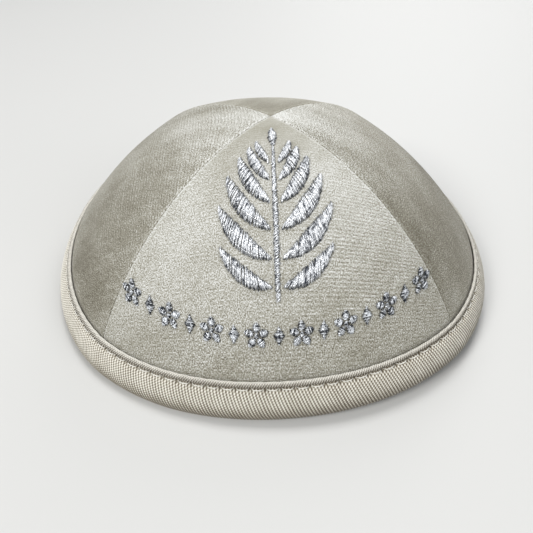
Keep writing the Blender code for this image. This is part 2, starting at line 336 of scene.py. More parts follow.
# velvet: its own tone with painted sheen and shade that differ from gore to gore and patch to patch, plus
# tufts of grain and mottle, broad brush marks, streaks and pile rows.
# The gore's attributes say how strongly tufts, streaks and rows show at each place.
def velvetMaterial():
    look = velvetLook
    material, tree, shader = newMaterial("velvet_pile", look["gloss"])
    grain = clothNoise(tree, **look["grain"])
    mottle = clothNoise(tree, **look["mottle"])
    brush = clothNoise(tree, **look["brush"])
    streak = clothNoise(tree, **look["streak"])
    strength = addShare(tree, look["grainShare"], brush, look["brushedGrain"])
    tufts = mathNode(tree, "MULTIPLY", centred(tree, grain), strength)
    tufts = addShare(tree, tufts, centred(tree, mottle), look["mottleShare"])
    value = addShare(tree, attributeNode(tree, "toneWithPaintedLight"), tufts, attributeNode(tree, "tufted"))
    value = addShare(tree, value, centred(tree, brush), look["brushShare"])
    value = addShare(tree, value, centred(tree, streak), attributeNode(tree, "crushed"))
    along = addShare(tree, clothAxes(tree)[1], mottle, look["wobble"])
    ridges = waveNode(tree, "SINE", along, look["rows"])
    ridges = mathNode(tree, "MULTIPLY", ridges, attributeNode(tree, "rows"))
    ridges = mathNode(tree, "MULTIPLY", ridges, mottle)
    value = addShare(tree, value, ridges, look["rowShare"], clamp=True)
    colourBy(tree, shader, value, look["colours"])
    bumpNode(tree, addShare(tree, grain, ridges, look["rowRelief"]), look["bump"], 0.8, shader)
    return material


backingLook = {
    "colours": [(0.20, 0.185, 0.155), (0.46, 0.43, 0.375)],
    "places": [0.1, 0.9],
    "threads": 1100,  # warp and weft threads per metre
    "slub": {"scale": (1500, 260)},
    "weaveShare": 0.30,
    "bump": 0.00012,
    "gloss": {"Roughness": 0.9, "Specular IOR Level": 0.2},
}


# plain weave: the product of a sine across and a sine along
def backingMaterial():
    look = backingLook
    material, tree, shader = newMaterial("woven_backing", look["gloss"])
    across, along = clothAxes(tree)
    warp = waveNode(tree, "SINE", across, look["threads"])
    weft = waveNode(tree, "SINE", along, look["threads"])
    weave = mathNode(tree, "MULTIPLY", warp, weft)
    slub = clothNoise(tree, **look["slub"])
    value = addShare(tree, slub, weave, look["weaveShare"], clamp=True)
    colourBy(tree, shader, value, look["colours"], look["places"])
    bumpNode(tree, weave, look["bump"], 0.6, shader)
    return material


ribbonLook = {
    "colours": [(0.125, 0.100, 0.066), (0.470, 0.432, 0.350), (0.900, 0.875, 0.800)],
    "beads": 1600,  # crossing threads per metre of rib
    "beadSlant": 0.8,  # cycles that a crossing thread drifts from one rib to the next
    "beadWander": 5.0,  # radians that the slub moves it
    "slub": {"scale": (1.3, 260)},
    "blotch": {"scale": (0.16, 60), "seed": 0.42},
    "level": 0.52,
    "crestShare": 0.40,
    "beadShare": 0.27,
    "slubShare": 0.45,
    "blotchShare": 0.3,
    "bump": 0.00022,
    "gloss": {"Roughness": 0.55, "Specular IOR Level": 0.35, "Sheen Weight": 0.25, "Sheen Roughness": 0.4},
}


# the ribbon's UV holds ribs counted round the rim, and metres down the band
def ribbonMaterial():
    look = ribbonLook
    material, tree, shader = newMaterial("ribbed_ribbon", look["gloss"])
    ribs, along = clothAxes(tree)
    crest = waveNode(tree, "COSINE", ribs, 1)
    slub = clothNoise(tree, **look["slub"])
    blotch = clothNoise(tree, **look["blotch"])
    phase = mathNode(tree, "MULTIPLY", ribs, 2 * math.pi * look["beadSlant"])
    phase = addShare(tree, phase, along, 2 * math.pi * look["beads"])
    phase = addShare(tree, phase, slub, look["beadWander"])
    beads = mathNode(tree, "SINE", phase)
    # the band's painted shade and painted light, taken off the level
    value = mathNode(tree, "SUBTRACT", look["level"], attributeNode(tree, "paintedShading"))
    value = addShare(tree, value, crest, look["crestShare"])
    value = addShare(tree, value, beads, look["beadShare"])
    value = addShare(tree, value, centred(tree, slub), look["slubShare"])
    value = addShare(tree, value, centred(tree, blotch), look["blotchShare"], clamp=True)
    colourBy(tree, shader, value, look["colours"])
    bumpNode(tree, beads, look["bump"], 0.5, shader)
    return material


rollLook = {
    "colours": [(0.130, 0.108, 0.074), (0.920, 0.895, 0.820)],
    "crossing": 1900,  # threads per metre that cross the twill lines
    "slub": {"scale": (0.6, 900)},
    "level": 0.36,
    "paintedUnderShade": -0.46,  # painted light on top of the roll and painted shade where it turns under
    "paintedShadeTurn": 0.6,  # radians from straight down to the darkest line of that painted shade
    "twillShare": 0.30,
    "knotShare": 0.30,
    "slubShare": 0.6,
    "bump": 0.00018,
    "gloss": {"Roughness": 0.6, "Specular IOR Level": 0.3, "Sheen Weight": 0.2},
}


# the roll's UV holds twill lines counted along its slant, and metres round the roll
def rollMaterial():
    look = rollLook
    material, tree, shader = newMaterial("bias_roll", look["gloss"])
    lines, around = clothAxes(tree)
    twill = waveNode(tree, "COSINE", lines, 1)
    knots = mathNode(tree, "MULTIPLY", twill, waveNode(tree, "SINE", around, look["crossing"]))
    slub = clothNoise(tree, **look["slub"])
    # painted light and shade round the roll: a sine of the turn, lighter on top and darker underneath
    turn = mathNode(tree, "DIVIDE", around, rollSizes["radius"])
    under = mathNode(tree, "SINE", mathNode(tree, "ADD", turn, look["paintedShadeTurn"]))
    value = addShare(tree, look["level"], under, look["paintedUnderShade"])
    value = addShare(tree, value, twill, look["twillShare"])
    value = addShare(tree, value, knots, look["knotShare"])
    value = addShare(tree, value, centred(tree, slub), look["slubShare"], clamp=True)
    colourBy(tree, shader, value, look["colours"])
    bumpNode(tree, twill, look["bump"], 0.6, shader)
    return material


threadLook = {
    "twistShare": 0.1,
    "twistBump": 0.00006,
    "glint": {"scale": (2.0, 2400)},
}
threads = {  # dark, light, metres for each turn of its twist, share of glint, metallic and roughness
    "sewing_thread": ((0.40, 0.37, 0.30), (0.98, 0.96, 0.90), 0.0007, 0.7, (0.0, 0.5)),
    "bright_silver_thread": ((0.06, 0.07, 0.09), (0.90, 0.92, 0.95), 0.0009, 2.2, (0.6, 0.35)),
    "grey_silver_thread": ((0.02, 0.025, 0.035), (0.80, 0.83, 0.87), 0.0009, 2.2, (0.6, 0.35)),
}


# a twisted thread: dark and light run by the tone that each thread carries, with painted glints from a
# noise along it, and the twist as bump.
# Its UV holds the share of the way round it, and metres along it.
def threadMaterial(name):
    dark, light, twistLength, glintShare, (metallic, roughness) = threads[name]
    material, tree, shader = newMaterial(name, {"Metallic": metallic, "Roughness": roughness})
    around, along = clothAxes(tree)
    turn = mathNode(tree, "MULTIPLY", around, 2 * math.pi)
    twist = mathNode(tree, "SINE", addShare(tree, turn, along, 2 * math.pi / twistLength))
    glint = clothNoise(tree, **threadLook["glint"])
    value = addShare(tree, attributeNode(tree, "tone"), centred(tree, glint), glintShare)
    value = addShare(tree, value, twist, threadLook["twistShare"], clamp=True)
    colourBy(tree, shader, value, [dark, light])
    bumpNode(tree, twist, threadLook["twistBump"], 0.7, shader)
    return material


# Velvet gores
goreLook = {
    "names": {"front": 0, "right": 90, "back": 180, "left": 270},
    "across": 96,  # columns over the outer face
    "crownRows": 126,  # rows from the apex to the piping line, a little closer at the rim
    "hemRows": 24,
    "rowPower": 0.9,
    "apexShare": 0.0006,
    "edgeGap": 0.00005,  # from each edge to the seam's plane
    "rollWidth": 0.0007,  # how far from the seam the velvet starts to turn in
    "rollDepth": 0.00040,
    "pucker": 0.00007,
    "puckerPitch": 0.0031,
    "puckerReach": 0.0016,
    "tuck": 0.0005,  # how far the velvet dips beside the piping
    "tuckPlace": 0.0006,  # below the piping line
    "tuckReach": 0.0012,
    "skirt": 0.0088,  # how far the hem runs down into the band
}

# The pile of each gore. Its tone holds painted sheen and shade, lighter or darker from gore to gore as the
# light falls on its pile. A patch is a brushed place, painted lighter or darker as painted sheen and shade:
# across (-1 to 1), share down, reach across, reach down, strength.
pileLook = {
    "toneWithPaintedLight": {"front": 0.585, "left": 0.43, "right": 0.435, "back": 0.41},
    "patches": {
        "front": [
            (0.15, 0.22, 1.2, 0.16, -0.04), (0.05, 0.42, 0.9, 0.25, 0.06), (-0.80, 0.60, 0.30, 0.22, 0.10),
            (0.0, 0.97, 1.4, 0.14, -0.13), (0.70, 0.40, 0.40, 0.22, 0.11), (0.75, 0.82, 0.35, 0.18, -0.08),
            (-0.45, 0.72, 0.3, 0.12, 0.05),
        ],
        "left": [
            (0.2, 0.04, 1.3, 0.20, 0.36), (-0.9, 0.10, 0.6, 0.10, 0.08), (0.35, 0.72, 1.0, 0.28, -0.14),
            (-0.4, 0.23, 0.5, 0.08, -0.07), (-0.4, 0.43, 0.4, 0.10, 0.07), (-0.2, 0.50, 0.4, 0.3, 0.08),
            (0.97, 0.93, 0.10, 0.08, 0.14), (0.65, 0.92, 0.50, 0.08, -0.24), (0.55, 0.30, 0.5, 0.14, 0.05),
        ],
        "right": [
            (-0.2, 0.0, 1.2, 0.17, 0.60), (-0.25, 0.84, 1.7, 0.32, -0.30), (-0.6, 0.42, 0.5, 0.16, 0.07),
            (-0.95, 0.50, 0.25, 0.25, -0.10), (-0.9, 0.96, 0.12, 0.05, 0.12), (0.90, 0.12, 0.80, 0.20, 0.14),
            (-0.80, 0.30, 0.30, 0.10, 0.10), (-0.35, 0.62, 0.45, 0.13, 0.09),
        ],
        "back": [(0.0, 0.1, 1.4, 0.4, -0.05), (0.2, 0.6, 0.9, 0.3, 0.08)],
    },
    "leastRows": {"front": 0.32, "left": 0.25, "right": 0.25, "back": 0.25},
    "frontRows": (0.6, 0.66, 0.55, 0.28, 0.85),  # a patch where the front's rows show best
    "highRows": {"left": 0.65, "right": 0.15, "back": 0.15},  # more rows from the apex down
    "highRowsEnd": 0.75,
    "streaks": {"front": 0.20, "left": 0.75, "right": 0.75, "back": 0.60},
    "streakShares": (0.65, 0.35, 0.45),  # everywhere, more at the apex, reach down
    "tufts": {"front": 1.0, "left": 1.0, "right": 1.0, "back": 0.55},
    "apexTufts": {"front": -0.75, "left": 0.60, "right": 0.80, "back": -0.15},
    "apexReach": 0.32,
    "paleEdge": {"front": 0.30, "right": 0.34, "back": 0.25, "left": 0.40},
    "palePlace": 0.00048,  # from the seam to the middle of the pale edge
    "paleReach": 0.00032,
    "paleFades": (0.55, 0.3, 0.65),  # share where it starts to fade, over how much, by how much
    "paleBreaks": (3900, 1270),  # radians per metre of the two sines that break it up
    "seamShade": 0.05,
    "seamReach": 0.00022,
}


# tone with painted light: the gore's own tone, with painted sheen and shade where each patch adds a bell
# curve over the gore's own across and share. Along the seams runs a pale edge, broken up by the product of
# two sines, and a thin painted shade in the seam's crease.
def toneWithPaintedLightOf(word, across, share, distance, fromSeam):
    look = pileLook
    toneWithPaintedLight = np.full(fromSeam.shape, look["toneWithPaintedLight"][word])
    for middle, down, reachAcross, reachDown, strength in look["patches"][word]:
        toneWithPaintedLight += strength * bell(across, middle, reachAcross) * bell(share, down, reachDown)
    fine, coarse = look["paleBreaks"]
    broken = 0.60 + 0.40 * np.sin(distance * fine) * np.sin(distance * coarse)
    fadeStart, fadeOver, fadeBy = look["paleFades"]
    pale = look["paleEdge"][word] * broken * (1 - fadeBy * np.clip((share - fadeStart) / fadeOver, 0, 1))
    toneWithPaintedLight += pale * bell(fromSeam, look["palePlace"], look["paleReach"])
    return toneWithPaintedLight - look["seamShade"] * bell(fromSeam, 0, look["seamReach"])


# pile rows: they show most where the pile is brushed flat, high on the side gores, where they fade as
# a bell curve of the fourth power, and low on the front
def rowsOf(word, across, share):
    least = pileLook["leastRows"][word]
    if word == "front":
        middle, down, reachAcross, reachDown, strength = pileLook["frontRows"]
        return least + strength * bell(across, middle, reachAcross) * bell(share, down, reachDown)
    return least + pileLook["highRows"][word] * np.exp(-(share / pileLook["highRowsEnd"]) ** 4)


# streaks: the side and back gores are crushed most, towards the apex
def crushedOf(word, share):
    everywhere, atApex, reach = pileLook["streakShares"]
    return pileLook["streaks"][word] * (everywhere + atApex * bell(share, 0, reach))


# tufts: they stand out most at the tips of the side gores, and lie smooth at the front's tip and behind
def tuftedOf(word, share):
    return pileLook["tufts"][word] + pileLook["apexTufts"][word] * bell(share, 0, pileLook["apexReach"])


# a gore's outer values, then the same backwards for its inner face
def bothFaces(values, shape):
    values = np.broadcast_to(values, shape)
    return np.concatenate([values, values[:, ::-1]], 1)


# gore: each row is a loop that runs over the outer face from seam to seam and back along the inner
# face. The outer face turns in at the seams on a quarter circle, and neither face crosses a seam's plane.
def goreShell(word, degrees, material, backing):
    look = goreLook
    middle = math.radians(degrees)
    spread = np.sin(np.linspace(-1, 1, look["across"]) * math.pi / 2)[None]
    share = np.linspace(0, 1, look["crownRows"]) ** look["rowPower"]
    share = look["apexShare"] + (1 - look["apexShare"]) * share
    down = np.linspace(0, look["skirt"], look["hemRows"] + 1)[1:]
    edge = goreHalf - np.arcsin(np.clip(look["edgeGap"] / planRadius(middle, share), 0, 0.7))
    azimuth = middle + spread * edge[:, None]
    crown = crownPoints(azimuth, share[:, None])
    crownNormal = crownNormals(azimuth, share[:, None] + 0 * azimuth)
    hemAzimuth = middle + spread * edge[-1] + np.zeros((len(down), 1))
    hem = rimPoints(hemAzimuth, down[:, None], 0.0)
    hemNormal = np.stack([
        np.sin(hemAzimuth) * math.cos(rimSlope), -np.cos(hemAzimuth) * math.cos(rimSlope),
        np.full_like(hemAzimuth, math.sin(rimSlope))], -1)
    outer = np.concatenate([crown, hem])
    normal = np.concatenate([crownNormal, hemNormal])
    inner = outer - normal * crownShape["wall"]

    fullAzimuth = np.concatenate([azimuth, hemAzimuth])
    fullShare = np.concatenate([share, np.ones(len(down))])[:, None]
    pastCrown = np.concatenate([0 * share, down])[:, None]
    distance = np.concatenate([share * domeLength, domeLength + down])[:, None]
    fromSeam = np.hypot(outer[..., 0], outer[..., 1]) * np.sin(goreHalf - np.abs(fullAzimuth - middle))
    turnIn = 1 - np.clip(fromSeam / look["rollWidth"], 0, 1)
    dip = look["rollDepth"] * (1 - np.sqrt(1 - turnIn**2))
    ripple = look["pucker"] * np.sin(2 * math.pi * distance / look["puckerPitch"])
    dip = dip + ripple * np.exp(-fromSeam / look["puckerReach"])
    dip = dip + look["tuck"] * bell(distance, domeLength + look["tuckPlace"], look["tuckReach"])
    outer = outer - normal * dip[..., None]
    for side in (-1, 1):
        seam = middle + side * goreHalf
        inwards = -side * np.array([math.cos(seam), math.sin(seam), 0.0])
        short = np.maximum(0, look["edgeGap"] - inner @ inwards)
        inner = inner + short[..., None] * inwards

    points = np.concatenate([outer, inner[:, ::-1]], 1)
    across, along = clothPlace(fullAzimuth - middle, fullShare)
    uv = np.stack([across, along + pastCrown], -1)
    uv = np.concatenate([uv, uv[:, ::-1], uv[:, :1]], 1)
    shades = {
        "toneWithPaintedLight": toneWithPaintedLightOf(word, spread, fullShare, distance, fromSeam),
        "rows": rowsOf(word, spread, fullShare),
        "crushed": crushedOf(word, fullShare),
        "tufted": tuftedOf(word, fullShare),
    }
    shades = {key: bothFaces(values, fromSeam.shape) for key, values in shades.items()}
    corners = gridFaces(points.shape[0], points.shape[1], True, cap=True)
    gore = meshPiece(f"velvetGore_{word}", points, uv, corners, material, shades)
    gore.data.materials.append(backing)
    isInner = corners[:, :, 1].min(1) >= look["across"]
    gore.data.polygons.foreach_set("material_index", isInner.astype(np.int32))
    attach(gore, "root")
    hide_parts(f"crown_panel_{word}")


velvet = velvetMaterial()
backing = backingMaterial()
for word, degrees in goreLook["names"].items():
    goreShell(word, degrees, velvet, backing)
print("velvet gores made")


# Rim band
bandLook = {
    "ribPitch": 0.00095,
    "columnsPerRib": 4,
    "ribHeight": 0.00028,
    "lean": 0.42,  # how far a rib drifts sideways for each unit of cloth
    "top": 0.0012,  # where the band starts below the piping line
    "bulge": 0.0026,
    "bulgePower": 0.55,
    "lip": 0.0003,  # how far out the band's top edge starts
    "edge": (0.0004, 0.0006),  # how far the wall's top is rounded, outside and inside
    "wall": 0.0010,
    "clearance": 0.0003,
    "foldRound": 0.0004,
    "innerLeg": 0.0085,
    "finePart": 0.0022,  # the top of the face, where its rows are closest
    "fineRows": 10,
    "faceRows": 14,
    "foldRows": 5,
    "legRows": 9,
    "stitchPitch": 0.0044,
    "stitchLine": 0.00165,  # down from the piping line
    "stitchReach": 0.0006,
    "holeReach": 0.0005,  # a stitch's end, down the band
    "pullReach": 0.0007,  # how far round the rim it draws the band in
    "shadeReach": 0.0006,  # and how far round the rim the painted shade in its hole reaches
    "pull": 0.00060,  # how far a stitch's end draws the band in
    "rowPull": 0.00042,  # how far the whole row does
    "lowShade": 0.62,  # painted shade: the fold is darker than the face, where the ground shades it
    "lowPlace": (0.47, 0.40),  # shares of the height: where it starts to darken, over how much
    "foldShades": (0.6, 0.25),  # how much of that painted shade is left under the fold, from out to in
    # painted shade in the needle holes
    "holeShade": 0.55,
    "grooveShade": 0.45,  # painted shade between the stitches and the roll
    "grooveSoft": 0.0003,
    "paintedLitSide": (-78.0, 48.0, 0.20),  # painted light on the left side, where the light falls: azimuth of its palest part, half width in degrees, strength
}
rimLength = 2 * math.pi * (crownShape["radius"] + crownShape["rimFlare"] / 2)
stitchCount = round(rimLength / bandLook["stitchPitch"])


# stitch ends: a comb of bell curves round the rim, each on a bell curve across the row of stitches
def stitchEnds(azimuth, down, reach):
    phase = azimuth * stitchCount / (2 * math.pi)
    near = (phase - np.round(phase)) * bandLook["stitchPitch"]
    return bell(near, 0, reach) * bell(down, bandLook["stitchLine"], bandLook["holeReach"])


# pulled in along the row of stitches, and most at their ends
def stitchPull(azimuth, down):
    row = bell(down, bandLook["stitchLine"], bandLook["stitchReach"])
    return bandLook["rowPull"] * row + bandLook["pull"] * stitchEnds(azimuth, down, bandLook["pullReach"])


# the band's section, down the bulging outer face, under the fold, up the inner leg and back over the
# channel: how far down and out each point lies, and how much of the ribs and of the fold's painted shade
# show
def bandSection():
    look = bandLook
    height = crownShape["rimHeight"]
    inside = -crownShape["wall"] / math.cos(rimSlope) - look["clearance"]
    legInside = inside - look["wall"]
    fineRows = np.linspace(0, look["finePart"], look["fineRows"])
    coarse = np.sin(np.linspace(0, math.pi / 2, look["faceRows"] + 1))[1:]
    coarseRows = look["finePart"] + (height - look["top"] - look["finePart"]) * coarse
    faceDown = look["top"] + np.concatenate([fineRows, coarseRows])
    face = (faceDown - look["top"]) / (height - look["top"])
    bulge = look["bulge"] * np.maximum(np.sin(math.pi * face), 0) ** look["bulgePower"]
    swell = bulge + look["lip"] * (1 - face) ** 4
    under = np.arange(1, look["foldRows"] + 1) / (look["foldRows"] + 1)
    legStart = height - look["foldRound"]
    up = np.arange(1, look["legRows"] + 1) / look["legRows"]
    legDown = legStart - (look["innerLeg"] - look["foldRound"]) * up
    floor = height - look["wall"]
    channel = [height - look["innerLeg"], floor, floor, look["top"] + look["edge"][1]]
    first, last = look["foldShades"]
    parts = [
        ([look["top"] + look["edge"][0]], look["clearance"], 0, 1),
        (faceDown, swell, np.where(face > 0, 1, 0.3), 1),
        (height, legInside * under, 0.5, np.linspace(first, last, look["foldRows"])),
        ([legStart], legInside, 0.6, last),
        (legDown, legInside, -0.7, last),
        (channel, [inside, inside, look["clearance"], look["clearance"]], 0, last),
    ]
    return np.concatenate([np.stack(np.broadcast_arrays(*part)) for part in parts], 1)


# band: the section is carried round the rim. Each column drifts sideways as it goes down, so that the
# ribs lean, and a rib is a rounded cosine on the outward distance.
def rimBandPiece(material):
    look = bandLook
    height = crownShape["rimHeight"]
    sectionDown, sectionOut, ribShare, shadeShare = bandSection()
    columns = round(rimLength / look["ribPitch"]) * look["columnsPerRib"]
    travel = np.concatenate([[0], np.cumsum(np.hypot(np.diff(sectionDown), np.diff(sectionOut)))])
    drift = look["lean"] * travel / crownShape["radius"]
    azimuth = np.arange(columns) * 2 * math.pi / columns + drift[:, None]
    rib = np.abs(np.cos(np.arange(columns) * math.pi / look["columnsPerRib"]))[None]
    down = sectionDown[:, None]
    out = sectionOut[:, None] + look["ribHeight"] * (rib - 0.8) * ribShare[:, None]
    out = out - stitchPull(azimuth, down) * np.clip(ribShare, 0, 1)[:, None]
    points = rimPoints(azimuth, down, out)

    # painted shade: darker down the fold, in the groove above the stitches and at the needle holes; painted
    # light on the left side
    lowStart, lowOver = look["lowPlace"]
    low = np.clip((down - lowStart * height) / (lowOver * height), 0, 1) ** 1.2
    groove = np.clip((look["stitchLine"] + look["grooveSoft"] - down) / look["grooveSoft"], 0, 1)
    litAzimuth, halfWidth, strength = look["paintedLitSide"]
    paintedShading = look["lowShade"] * low * shadeShare[:, None] + look["grooveShade"] * groove
    paintedShading = paintedShading + look["holeShade"] * stitchEnds(azimuth, down, look["shadeReach"])
    paintedShading = paintedShading - strength * bell(degreesFrom(azimuth, litAzimuth), 0, halfWidth)

    ribCount = np.arange(columns + 1) / look["columnsPerRib"]
    uv = np.stack(np.broadcast_arrays(ribCount[None], travel[:, None]), -1)
    uv = np.concatenate([uv, uv[:1] + [0, travel[-1] + look["wall"]]])
    corners = gridFaces(points.shape[0], columns, True, wrapRows=True)
    band = meshPiece("rimBand", points, uv, corners, material, {"paintedShading": paintedShading})
    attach(band, "root")
    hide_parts("rim_band")


rimBandPiece(ribbonMaterial())
print("rim band made")


# Piping
rollSizes = {
    "radius": 0.00072,
    "down": 0.00064,  # the roll's middle, from the piping line
    "out": 0.00055,
    "stations": 2290,
    "sides": 20,
    "squeeze": 0.00008,  # how much thinner it is at a stitch's end
    "thinSide": (54.0, 30.0, 0.31),  # azimuth where it is thinnest, half width in degrees, share lost
    "twillPitch": 0.00076,
    "twillTurns": 4,  # twill lines crossed on the way once round the roll
    "twillHeight": 0.00008,
}


# the share of its radius that the roll has lost, a bell curve over the azimuth
def thinningAt(azimuth):
    thinnest, halfWidth, lost = rollSizes["thinSide"]
    return lost * bell(degreesFrom(azimuth, thinnest), 0, halfWidth)


# roll: a circle carried round the rim, squeezed a little at each stitch, with slanting cosine ridges.
# Where it is thin its upper side stays where it was.
def pipingPiece(material):
    look = rollSizes
    azimuth = np.arange(look["stations"]) * 2 * math.pi / look["stations"]
    turn = np.arange(look["sides"]) * 2 * math.pi / look["sides"]
    lineCount = round(rimLength / look["twillPitch"])
    twill = lineCount * azimuth[None] + look["twillTurns"] * turn[:, None]
    thinner = look["radius"] * thinningAt(azimuth)[None]
    squeezed = look["squeeze"] * (0.5 + 0.5 * np.cos(azimuth * stitchCount))[None]
    radius = look["radius"] - thinner - squeezed + look["twillHeight"] * np.cos(twill)
    down = look["down"] - thinner + radius * np.sin(turn)[:, None]
    out = look["out"] / math.cos(rimSlope) + radius * np.cos(turn)[:, None]
    points = rimPoints(azimuth[None], down, out).transpose(1, 0, 2)
    aroundRoll = np.arange(look["sides"] + 1) / look["sides"]
    alongRim = np.arange(look["stations"] + 1) / look["stations"]
    lines = lineCount * alongRim[:, None] + look["twillTurns"] * aroundRoll[None]
    uv = np.stack(np.broadcast_arrays(lines, aroundRoll[None] * 2 * math.pi * look["radius"]), -1)
    corners = gridFaces(look["stations"], look["sides"], True, wrapRows=True)[:, ::-1]
    roll = meshPiece("rimPiping", points, uv, corners, material)
    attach(roll, "root")
    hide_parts("rim_piping")


pipingPiece(rollMaterial())
print("piping made")


# Stitches in the ditch between the piping and the band
ditchLook = {
    "radius": 0.00015,
    "share": 0.84,  # of the way from one needle hole to the next
    "down": 0.00172,  # from the piping line
    "out": 0.00128,
    "arch": 0.00090,
    "sunk": 0.0002,  # how much lower a stitch lies, for each share that the roll has lost
    "samples": 9,
    "sides": 8,
    "tone": (0.80, 0.15),  # of the darkest stitch, and how much paler the palest is
    "paintedDeepShade": 0.5,  # painted shade: how much darker, for each share that the roll has lost, as it lies deeper in the groove
    "seed": 11,
}


# stitch: an arc round the rim between two needle holes, which dips in at both ends. Beside the thin
# side of the roll it lies deeper, and is painted darker as painted shade in the deeper groove.
def ditchStitches():
    look = ditchLook
    along = np.linspace(-0.5, 0.5, look["samples"])
    middle = (np.arange(stitchCount) + 0.5)[:, None]
    azimuth = (middle + along[None] * look["share"]) * 2 * math.pi / stitchCount
    thinning = thinningAt(azimuth)
    arch = look["arch"] * (1 - (2 * along) ** 4)
    out = look["out"] - look["arch"] + arch[None] - look["sunk"] * thinning
    points = rimPoints(azimuth, look["down"], out)
    normal = np.stack([np.sin(azimuth), -np.cos(azimuth), np.full_like(azimuth, 0.4)], -1)
    generator = np.random.default_rng(look["seed"])
    darkest, spread = look["tone"]
    tone = darkest + spread * generator.random((stitchCount, 1)) - look["paintedDeepShade"] * thinning
    thread = threadMaterial("sewing_thread")
    stitches = threadMesh("ditchStitches", points, normal, look["radius"], look["sides"], thread, tone)
    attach(stitches, "root")


ditchStitches()
print("stitches made")


# Embroidery on the front gore
stitchLook = {
    "pitch": 0.00037,  # from thread to thread along a pad
    "radius": 0.00022,
    "padHeight": 0.0008,
    "fullWidth": 0.003,  # a narrower pad is lower, down to the least share
    "leastHeight": 0.35,
    "seated": 0.00005,  # how deep a thread's ends sink into the pile
    "samples": 9,
    "sides": 6,
}
sprigPlan = {
    "top": 0.0095,  # from the apex to the tip
    "length": 0.0620,
    "stemWidth": 0.0018,
    "slimness": 0.27,  # a leaf's width over its length
    "base": 0.0015,  # from the stem's middle to a leaf's base
    "topLeaf": 0.16,
    "leaves": [  # from the foot, length, lean, curl
        (0.07, 0.300, 80.0, 26.0), (0.20, 0.350, 70.0, 25.0), (0.34, 0.345, 60.0, 24.0),
        (0.48, 0.300, 50.0, 22.0), (0.61, 0.235, 42.0, 19.0), (0.72, 0.165, 35.0, 15.0),
    ],
    "slant": 0.0006,  # of the threads over the stem and the top leaf
    "leafSlant": 0.0011,
    "ragged": 0.00013,  # how unevenly the threads end
    "tone": (0.45, 1.15),  # darkest and palest thread
    "speckle": 0.40,
    "paintedEdgeShade": 0.60,
    "seed": 5,
}


# satin stitches over an outline: each thread goes from the outline's one side to its other at a share
# along it, slanted by a lead, and arches over the pad as the root of a sine
def satinLines(outline, length, slant, generator, ragged):
    look = stitchLook
    count = max(4, round(length / look["pitch"]))
    share = (np.arange(count) + 0.5) / count
    lead = slant / length
    acrossA, alongA = outline(np.clip(share - lead, 0.01, 0.99), -1.0)
    acrossB, alongB = outline(np.clip(share + lead, 0.01, 0.99), 1.0)
    jitter = generator.normal(0, ragged, (4, count))
    t = np.linspace(0, 1, look["samples"])[None]
    across = (acrossA + jitter[0])[:, None] * (1 - t) + (acrossB + jitter[1])[:, None] * t
    along = (alongA + jitter[2])[:, None] * (1 - t) + (alongB + jitter[3])[:, None] * t
    width = np.hypot(acrossB - acrossA, alongB - alongA)
    height = look["padHeight"] * np.clip(width / look["fullWidth"], look["leastHeight"], 1)
    lift = height[:, None] * np.sin(math.pi * t) ** 0.6 + look["radius"] * 0.6 - look["seated"]
    return across, along, lift


# leaf: a centre line that curls as it goes, and a width that is the sine of the share to a power
def leafOutline(baseAcross, baseAlong, length, lean, curl):
    def outline(share, side):
        heading = lean - curl * share
        half = sprigPlan["slimness"] * length / 2 * np.sin(math.pi * share) ** 0.8
        across = baseAcross + length * share * np.sin(heading) + side * half * np.cos(heading)
        along = baseAlong - length * share * np.cos(heading) + side * half * np.sin(heading)
        return across, along
    return outline


# each thread has its own tone and width, with speckle, and is painted darker as a cube towards its ends,
# as painted shade at the pads' edges
def embroideryPiece(name, word, plan, groups, generator, material):
    across, along, lift = (np.concatenate(parts) for parts in zip(*groups))
    lines = frontPoints(across, along, lift)
    share = along / domeLength
    normals = crownNormals(across / planRadius(np.zeros_like(share), share), share)
    tone = generator.uniform(*plan["tone"], (len(lines), 1))
    ends = np.abs(np.linspace(-1, 1, lines.shape[1])) ** 3
    tone = tone + generator.normal(0, plan["speckle"], lines.shape[:2]) - plan["paintedEdgeShade"] * ends[None]
    radius = stitchLook["radius"] * generator.uniform(0.88, 1.1, len(lines))
    piece = threadMesh(name, lines, normals, radius, stitchLook["sides"], material, tone)
    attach(piece, "root")
    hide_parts(*[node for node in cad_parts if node.startswith(word)])


def sprigPiece(material):
    plan = sprigPlan
    generator = np.random.default_rng(plan["seed"])
    foot = plan["top"] + plan["length"]
    topLength = plan["length"] * plan["topLeaf"]
    stemLength = plan["length"] - topLength

    def stem(share, side):
        half = plan["stemWidth"] / 2 * (1 - 0.4 * share) * np.sin(math.pi * share) ** 0.25
        return side * half, foot - stemLength * share

    groups = [satinLines(stem, stemLength, plan["slant"], generator, plan["ragged"])]
    for fromFoot, length, lean, curl in plan["leaves"]:
        for side in (-1, 1):
            outline = leafOutline(
                side * plan["base"], foot - plan["length"] * fromFoot, plan["length"] * length,
                side * math.radians(lean), side * math.radians(curl))
            slant = -side * plan["leafSlant"]
            groups.append(satinLines(outline, plan["length"] * length, slant, generator, plan["ragged"]))
    top = leafOutline(0.0, plan["top"] + topLength, topLength, 0.0, 0.0)
    groups.append(satinLines(top, topLength, plan["slant"], generator, plan["ragged"]))
    embroideryPiece("sprigStitches", "sprig", plan, groups, generator, material)


borderPlan = {
    "drop": 0.0800,  # from the apex along the gore's middle
    "endRise": 0.0050,
    "flower": 0.0072,
    "petals": 5,
    "petal": (0.26, 0.160, 0.37),  # shares of the flower: start, half width, length
    "knot": (0.0007, 0.0014, 0.0016),  # half width, length, length its threads are counted over
    "knotLift": 0.0003,
    "diamond": (0.0034, 0.0050),
    "gap": 0.0008,
    "flowerRagged": 0.00004,
    "diamondRagged": 0.00005,
    "tone": (0.05, 1.30),
    "speckle": 0.42,
    "paintedEdgeShade": 0.90,
    "seed": 8,
}


